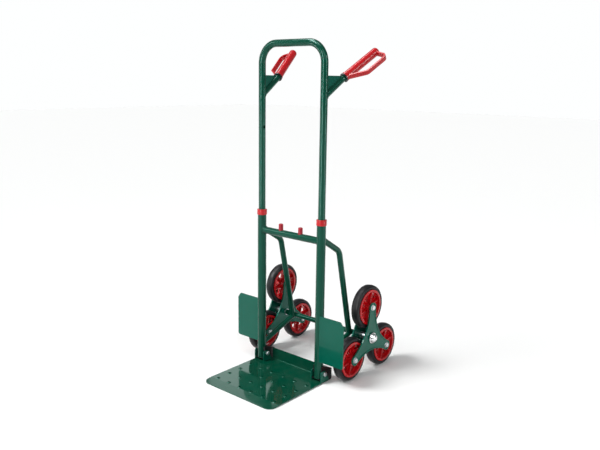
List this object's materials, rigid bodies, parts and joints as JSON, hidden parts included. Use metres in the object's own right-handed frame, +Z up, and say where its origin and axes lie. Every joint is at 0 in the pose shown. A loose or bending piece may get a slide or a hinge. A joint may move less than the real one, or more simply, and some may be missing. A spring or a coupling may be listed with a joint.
{
  "type": "stair-climbing hand truck",
  "caption": "Tubular steel hand truck with a telescopic bow handle, a folding toe plate and three-armed wheel carriers for climbing stairs.",
  "frame": {"origin": "centre of the footprint, on the floor", "axes": "+Z up, -Y towards the load side that the toe plate faces, +X across the truck"},
  "size_m": [0.51, 0.6456, 1.19],
  "materials": {
    "green_paint": "glossy powder coat with faint orange peel",
    "red_plastic": "moulded, semi-gloss",
    "black_plastic": "moulded, matte",
    "glide_plastic": "natural nylon",
    "tyre_rubber": "solid rubber, satin",
    "zinc_steel": "zinc plated",
    "chrome": "polished"
  },
  "bodies": {
    "frame": {"upright_left": "green_paint", "brace_left": "green_paint", "strut_left": "green_paint", "guard_left": "green_paint", "collar_left": "red_plastic", "shoe_left": "black_plastic", "upright_right": "green_paint", "brace_right": "green_paint", "strut_right": "green_paint", "guard_right": "green_paint", "collar_right": "red_plastic", "shoe_right": "black_plastic", "crossbar": "green_paint", "axle_tube": "green_paint", "axle_rod": "zinc_steel", "axle_caps": "chrome", "hinge_bolts": "zinc_steel", "lock_stop_plug": "black_plastic", "lock_springs": "zinc_steel"},
    "handle": {"grip_stub_left": "green_paint", "gusset_left": "green_paint", "grip_left": "red_plastic", "glide_left": "glide_plastic", "grip_stub_right": "green_paint", "gusset_right": "green_paint", "grip_right": "red_plastic", "glide_right": "glide_plastic", "handle_tube": "green_paint", "grip_rings": "black_plastic"},
    "toe": {"hinge_ears_left": "green_paint", "hinge_ears_right": "green_paint", "toe_plate": "green_paint"},
    "release_left": {"lock_slider_left": "black_plastic", "lock_pin_left": "zinc_steel", "release_knob_left": "red_plastic"},
    "star_left": {"star_outer_plate_left": "green_paint", "star_inner_plate_left": "green_paint", "star_hub_left": "zinc_steel", "wheel_bolts_left": "zinc_steel", "wheel_spacers_left": "zinc_steel"},
    "wheel_left_top": {"tyre_left_top": "tyre_rubber", "rim_left_top": "red_plastic"},
    "wheel_left_front": {"tyre_left_front": "tyre_rubber", "rim_left_front": "red_plastic"},
    "wheel_left_rear": {"tyre_left_rear": "tyre_rubber", "rim_left_rear": "red_plastic"},
    "release_right": {"lock_slider_right": "black_plastic", "lock_pin_right": "zinc_steel", "release_knob_right": "red_plastic"},
    "star_right": {"star_outer_plate_right": "green_paint", "star_inner_plate_right": "green_paint", "star_hub_right": "zinc_steel", "wheel_bolts_right": "zinc_steel", "wheel_spacers_right": "zinc_steel"},
    "wheel_right_top": {"tyre_right_top": "tyre_rubber", "rim_right_top": "red_plastic"},
    "wheel_right_front": {"tyre_right_front": "tyre_rubber", "rim_right_front": "red_plastic"},
    "wheel_right_rear": {"tyre_right_rear": "tyre_rubber", "rim_right_rear": "red_plastic"}
  },
  "joints": [
    {"name": "handle_slide", "type": "slide", "parent": "frame", "child": "handle", "axis": [0, 0, -1], "range_m": [0, 0.375]},
    {"name": "toe_fold", "type": "hinge", "parent": "frame", "child": "toe", "pos_m": [0, -0.0398, 0.034], "axis": [-1, 0, 0], "range_deg": [0, 90]},
    {"name": "release_left", "type": "slide", "parent": "frame", "child": "release_left", "axis": [1, 0, 0], "range_m": [0, 0.01], "stiffness_N_per_m": 400, "springref_m": -0.01},
    {"name": "release_right", "type": "slide", "parent": "frame", "child": "release_right", "axis": [-1, 0, 0], "range_m": [0, 0.01], "stiffness_N_per_m": 400, "springref_m": -0.01},
    {"name": "star_spin_left", "type": "hinge", "parent": "frame", "child": "star_left", "pos_m": [-0.209, 0.1432, 0.1375], "axis": [1, 0, 0], "continuous": true},
    {"name": "wheel_spin_left_top", "type": "hinge", "parent": "star_left", "child": "wheel_left_top", "pos_m": [-0.209, 0.1432, 0.2525], "axis": [1, 0, 0], "continuous": true},
    {"name": "wheel_spin_left_front", "type": "hinge", "parent": "star_left", "child": "wheel_left_front", "pos_m": [-0.209, 0.04361, 0.08], "axis": [1, 0, 0], "continuous": true},
    {"name": "wheel_spin_left_rear", "type": "hinge", "parent": "star_left", "child": "wheel_left_rear", "pos_m": [-0.209, 0.24279, 0.08], "axis": [1, 0, 0], "continuous": true},
    {"name": "star_spin_right", "type": "hinge", "parent": "frame", "child": "star_right", "pos_m": [0.209, 0.1432, 0.1375], "axis": [1, 0, 0], "continuous": true},
    {"name": "wheel_spin_right_top", "type": "hinge", "parent": "star_right", "child": "wheel_right_top", "pos_m": [0.209, 0.1432, 0.2525], "axis": [1, 0, 0], "continuous": true},
    {"name": "wheel_spin_right_front", "type": "hinge", "parent": "star_right", "child": "wheel_right_front", "pos_m": [0.209, 0.04361, 0.08], "axis": [1, 0, 0], "continuous": true},
    {"name": "wheel_spin_right_rear", "type": "hinge", "parent": "star_right", "child": "wheel_right_rear", "pos_m": [0.209, 0.24279, 0.08], "axis": [1, 0, 0], "continuous": true}
  ]
}
